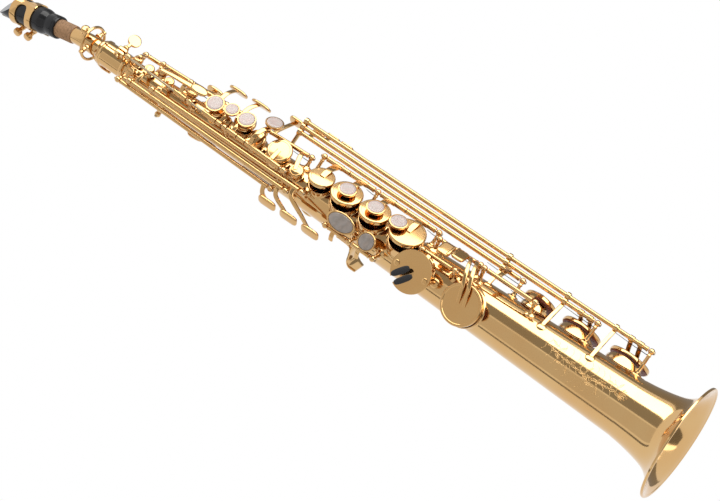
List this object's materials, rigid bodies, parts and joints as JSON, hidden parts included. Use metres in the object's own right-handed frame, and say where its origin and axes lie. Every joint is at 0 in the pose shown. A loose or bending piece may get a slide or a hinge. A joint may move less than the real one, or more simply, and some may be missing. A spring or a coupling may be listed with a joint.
{
  "type": "soprano saxophone",
  "caption": "Straight conical woodwind in lacquered brass with a flared bell, slightly bent neck, single-reed mouthpiece and sprung keywork over raised tone holes.",
  "frame": {"origin": "centre of the bell's rim, on the plane that the bell stands on", "axes": "+Z from the bell to the mouthpiece, -Y to the side of the finger keys, -X to the player's right hand side"},
  "size_m": [0.0949, 0.0922, 0.6498],
  "materials": {
    "body_lacquer": "polished gold lacquer",
    "key_lacquer": "polished gold lacquer",
    "steel": "ground",
    "ebonite": "polished",
    "cane": "cut cane",
    "cork": "sanded cork",
    "pearl": "polished",
    "pad_leather": "smooth leather"
  },
  "bodies": {
    "instrument": {"body_tube": "body_lacquer", "bell": "body_lacquer", "neck_receiver": "body_lacquer", "neck_tube": "body_lacquer", "thumb_hook": "body_lacquer", "strap_ring": "body_lacquer", "upper_stack_rod": "steel", "lower_stack_rod": "steel", "neck_clamp_screw": "key_lacquer", "neck_cork": "cork", "mouthpiece": "ebonite", "reed": "cane", "ligature": "key_lacquer", "ligature_screw_upper": "key_lacquer", "ligature_screw_lower": "key_lacquer", "thumb_rest": "ebonite", "low_e_flat_guard": "key_lacquer"},
    "octave_thumb_lever": {"octave_thumb_lever": "key_lacquer"},
    "octave_neck_key": {"octave_neck_key": "key_lacquer"},
    "front_f_lever": {"front_f_lever": "key_lacquer"},
    "palm_d_key": {"palm_d_key": "key_lacquer"},
    "palm_e_flat_key": {"palm_e_flat_key": "key_lacquer"},
    "palm_f_key": {"palm_f_key": "key_lacquer"},
    "side_e_key": {"side_e_key": "key_lacquer"},
    "side_c_key": {"side_c_key": "key_lacquer"},
    "side_b_flat_key": {"side_b_flat_key": "key_lacquer"},
    "b_key": {"b_key": "key_lacquer", "b_pearl": "pearl"},
    "bis_key": {"bis_key": "key_lacquer", "bis_pearl": "pearl"},
    "a_key": {"a_key": "key_lacquer", "a_pearl": "pearl"},
    "c_vent_key": {"c_vent_key": "key_lacquer"},
    "g_key": {"g_key": "key_lacquer", "g_pearl": "pearl"},
    "g_sharp_key": {"g_sharp_key": "key_lacquer"},
    "f_sharp_key": {"f_sharp_key": "key_lacquer", "f_sharp_pad": "pad_leather"},
    "f_key": {"f_key": "key_lacquer", "f_pad": "pad_leather", "f_pearl": "pearl"},
    "e_key": {"e_key": "key_lacquer", "e_pad": "pad_leather", "e_pearl": "pearl"},
    "d_key": {"d_key": "key_lacquer", "d_pad": "pad_leather", "d_pearl": "pearl"},
    "high_f_sharp_lever": {"high_f_sharp_lever": "key_lacquer", "high_f_sharp_pearl": "pearl"},
    "high_g_lever": {"high_g_lever": "key_lacquer", "high_g_pearl": "pearl"},
    "low_e_flat_key": {"low_e_flat_key": "key_lacquer"},
    "low_c_key": {"low_c_key": "key_lacquer", "low_c_pad": "pad_leather"},
    "low_c_sharp_key": {"low_c_sharp_key": "key_lacquer"},
    "c_sharp_lever": {"c_sharp_lever": "key_lacquer"},
    "low_b_key": {"low_b_key": "key_lacquer", "low_b_pad": "pad_leather"},
    "low_b_flat_key": {"low_b_flat_key": "key_lacquer", "low_b_flat_pad": "pad_leather"}
  },
  "joints": [
    {"name": "octave_thumb_press", "type": "hinge", "parent": "instrument", "child": "octave_thumb_lever", "pos_m": [0, 0.01712, 0.478], "axis": [-1, 0, 0], "range_deg": [0, 3], "stiffness_Nm_per_rad": 0.03, "springref_deg": -22.92},
    {"name": "octave_neck_lift", "type": "hinge", "parent": "instrument", "child": "octave_neck_key", "pos_m": [0, -0.002, 0.553], "axis": [1, 0, 0], "range_deg": [0, 9.6], "stiffness_Nm_per_rad": 0.01, "springref_deg": -22.92},
    {"name": "front_f_press", "type": "hinge", "parent": "instrument", "child": "front_f_lever", "pos_m": [-0.00663, -0.02018, 0.457], "axis": [0.0447, 0.0102, 0.999], "range_deg": [0, 6], "stiffness_Nm_per_rad": 0.03, "springref_deg": -22.92},
    {"name": "palm_d_press", "type": "hinge", "parent": "instrument", "child": "palm_d_key", "pos_m": [0.01281, -0.01422, 0.4455], "axis": [-0.021, 0.0233, 0.9995], "range_deg": [0, 12], "stiffness_Nm_per_rad": 0.03, "springref_deg": -22.92},
    {"name": "palm_e_flat_press", "type": "hinge", "parent": "instrument", "child": "palm_e_flat_key", "pos_m": [0.01607, -0.01004, 0.4515], "axis": [-0.0266, 0.0166, 0.9995], "range_deg": [0, 12], "stiffness_Nm_per_rad": 0.03, "springref_deg": -22.92},
    {"name": "palm_f_press", "type": "hinge", "parent": "instrument", "child": "palm_f_key", "pos_m": [0.01739, -0.00499, 0.479], "axis": [-0.0302, 0.0087, 0.9995], "range_deg": [0, 12], "stiffness_Nm_per_rad": 0.03, "springref_deg": -22.92},
    {"name": "side_e_press", "type": "hinge", "parent": "instrument", "child": "side_e_key", "pos_m": [-0.01751, -0.01137, 0.422], "axis": [-0.0263, -0.0171, -0.9995], "range_deg": [0, 10], "stiffness_Nm_per_rad": 0.03, "springref_deg": -22.92},
    {"name": "side_c_press", "type": "hinge", "parent": "instrument", "child": "side_c_key", "pos_m": [-0.01432, -0.0159, 0.4055], "axis": [-0.021, -0.0233, -0.9995], "range_deg": [0, 10], "stiffness_Nm_per_rad": 0.03, "springref_deg": -22.92},
    {"name": "side_b_flat_press", "type": "hinge", "parent": "instrument", "child": "side_b_flat_key", "pos_m": [-0.01953, -0.00635, 0.433], "axis": [-0.0299, -0.0097, -0.9995], "range_deg": [0, 10], "stiffness_Nm_per_rad": 0.03, "springref_deg": -22.92},
    {"name": "b_press", "type": "hinge", "parent": "instrument", "child": "b_key", "pos_m": [-0.00796, -0.02048, 0.4271], "axis": [0.0447, 0.0102, 0.999], "range_deg": [0, 14], "stiffness_Nm_per_rad": 0.03, "springref_deg": -22.92},
    {"name": "bis_press", "type": "hinge", "parent": "instrument", "child": "bis_key", "pos_m": [-0.0084, -0.02058, 0.41725], "axis": [0.0447, 0.0102, 0.999], "range_deg": [0, 14], "stiffness_Nm_per_rad": 0.03, "springref_deg": -22.92},
    {"name": "a_press", "type": "hinge", "parent": "instrument", "child": "a_key", "pos_m": [-0.00901, -0.02072, 0.40375], "axis": [0.0447, 0.0102, 0.999], "range_deg": [0, 14], "stiffness_Nm_per_rad": 0.03, "springref_deg": -22.92},
    {"name": "c_vent_close", "type": "hinge", "parent": "instrument", "child": "c_vent_key", "pos_m": [-0.00942, -0.02082, 0.3945], "axis": [0.0447, 0.0102, 0.999], "range_deg": [0, 14], "stiffness_Nm_per_rad": 0.01, "springref_deg": -22.92},
    {"name": "g_press", "type": "hinge", "parent": "instrument", "child": "g_key", "pos_m": [-0.01038, -0.02104, 0.373], "axis": [0.0447, 0.0102, 0.999], "range_deg": [0, 14], "stiffness_Nm_per_rad": 0.03, "springref_deg": -22.92},
    {"name": "g_sharp_press", "type": "hinge", "parent": "instrument", "child": "g_sharp_key", "pos_m": [0.01421, -0.01694, 0.367], "axis": [-0.0202, 0.0241, 0.9995], "range_deg": [0, 12], "stiffness_Nm_per_rad": 0.03, "springref_deg": -22.92},
    {"name": "f_sharp_close", "type": "hinge", "parent": "instrument", "child": "f_sharp_key", "pos_m": [0.02208, -0.01725, 0.32583], "axis": [0.0028, -0.0022, -1], "range_deg": [0, 10], "stiffness_Nm_per_rad": 0.01, "springref_deg": -22.92},
    {"name": "f_press", "type": "hinge", "parent": "instrument", "child": "f_key", "pos_m": [0.02214, -0.0173, 0.30318], "axis": [0.0028, -0.0022, -1], "range_deg": [0, 10], "stiffness_Nm_per_rad": 0.03, "springref_deg": -22.92},
    {"name": "e_press", "type": "hinge", "parent": "instrument", "child": "e_key", "pos_m": [0.02222, -0.01736, 0.27395], "axis": [0.0028, -0.0022, -1], "range_deg": [0, 10], "stiffness_Nm_per_rad": 0.03, "springref_deg": -22.92},
    {"name": "d_press", "type": "hinge", "parent": "instrument", "child": "d_key", "pos_m": [0.0223, -0.01742, 0.24835], "axis": [0.0028, -0.0022, -1], "range_deg": [0, 10], "stiffness_Nm_per_rad": 0.03, "springref_deg": -22.92},
    {"name": "high_f_sharp_press", "type": "hinge", "parent": "instrument", "child": "high_f_sharp_lever", "pos_m": [-0.02302, -0.00977, 0.29075], "axis": [0.0289, 0.0123, 0.9995], "range_deg": [0, 7], "stiffness_Nm_per_rad": 0.03, "springref_deg": -22.92},
    {"name": "high_g_press", "type": "hinge", "parent": "instrument", "child": "high_g_lever", "pos_m": [-0.02367, -0.01005, 0.26825], "axis": [0.0289, 0.0123, 0.9995], "range_deg": [0, 7], "stiffness_Nm_per_rad": 0.03, "springref_deg": -22.92},
    {"name": "low_e_flat_press", "type": "hinge", "parent": "instrument", "child": "low_e_flat_key", "pos_m": [-0.00382, -0.02716, 0.21375], "axis": [0.0044, 0.0311, 0.9995], "range_deg": [0, 9], "stiffness_Nm_per_rad": 0.03, "springref_deg": -22.92},
    {"name": "low_c_press", "type": "hinge", "parent": "instrument", "child": "low_c_key", "pos_m": [0.01463, -0.02342, 0.20775], "axis": [0.0166, -0.0266, -0.9995], "range_deg": [0, 10], "stiffness_Nm_per_rad": 0.03, "springref_deg": -22.92},
    {"name": "low_c_sharp_close", "type": "hinge", "parent": "instrument", "child": "low_c_sharp_key", "pos_m": [0.0111, -0.02891, 0.1615], "axis": [-0.0001, 0.0003, 1], "range_deg": [0, 9], "stiffness_Nm_per_rad": 0.01, "springref_deg": -22.92},
    {"name": "c_sharp_press", "type": "hinge", "parent": "instrument", "child": "c_sharp_lever", "pos_m": [0.02772, -0.018, 0.2645], "axis": [0, 0, 1], "range_deg": [0, 6], "stiffness_Nm_per_rad": 0.03, "springref_deg": -22.92},
    {"name": "low_b_press", "type": "hinge", "parent": "instrument", "child": "low_b_key", "pos_m": [0.03158, -0.02051, 0.233], "axis": [0, 0, 1], "range_deg": [0, 16], "stiffness_Nm_per_rad": 0.03, "springref_deg": -22.92},
    {"name": "low_b_flat_press", "type": "hinge", "parent": "instrument", "child": "low_b_flat_key", "pos_m": [0.03544, -0.02301, 0.21125], "axis": [0, 0, 1], "range_deg": [0, 16], "stiffness_Nm_per_rad": 0.03, "springref_deg": -22.92}
  ],
  "couplings": [
    {"joint": "octave_neck_lift", "follows": "octave_thumb_press", "ratio": 3.2},
    {"joint": "low_c_sharp_close", "follows": "c_sharp_press", "ratio": 1.5},
    {"joint": "f_sharp_close", "follows": "f_press", "ratio": 1},
    {"joint": "c_vent_close", "follows": "b_press", "ratio": 1}
  ]
}
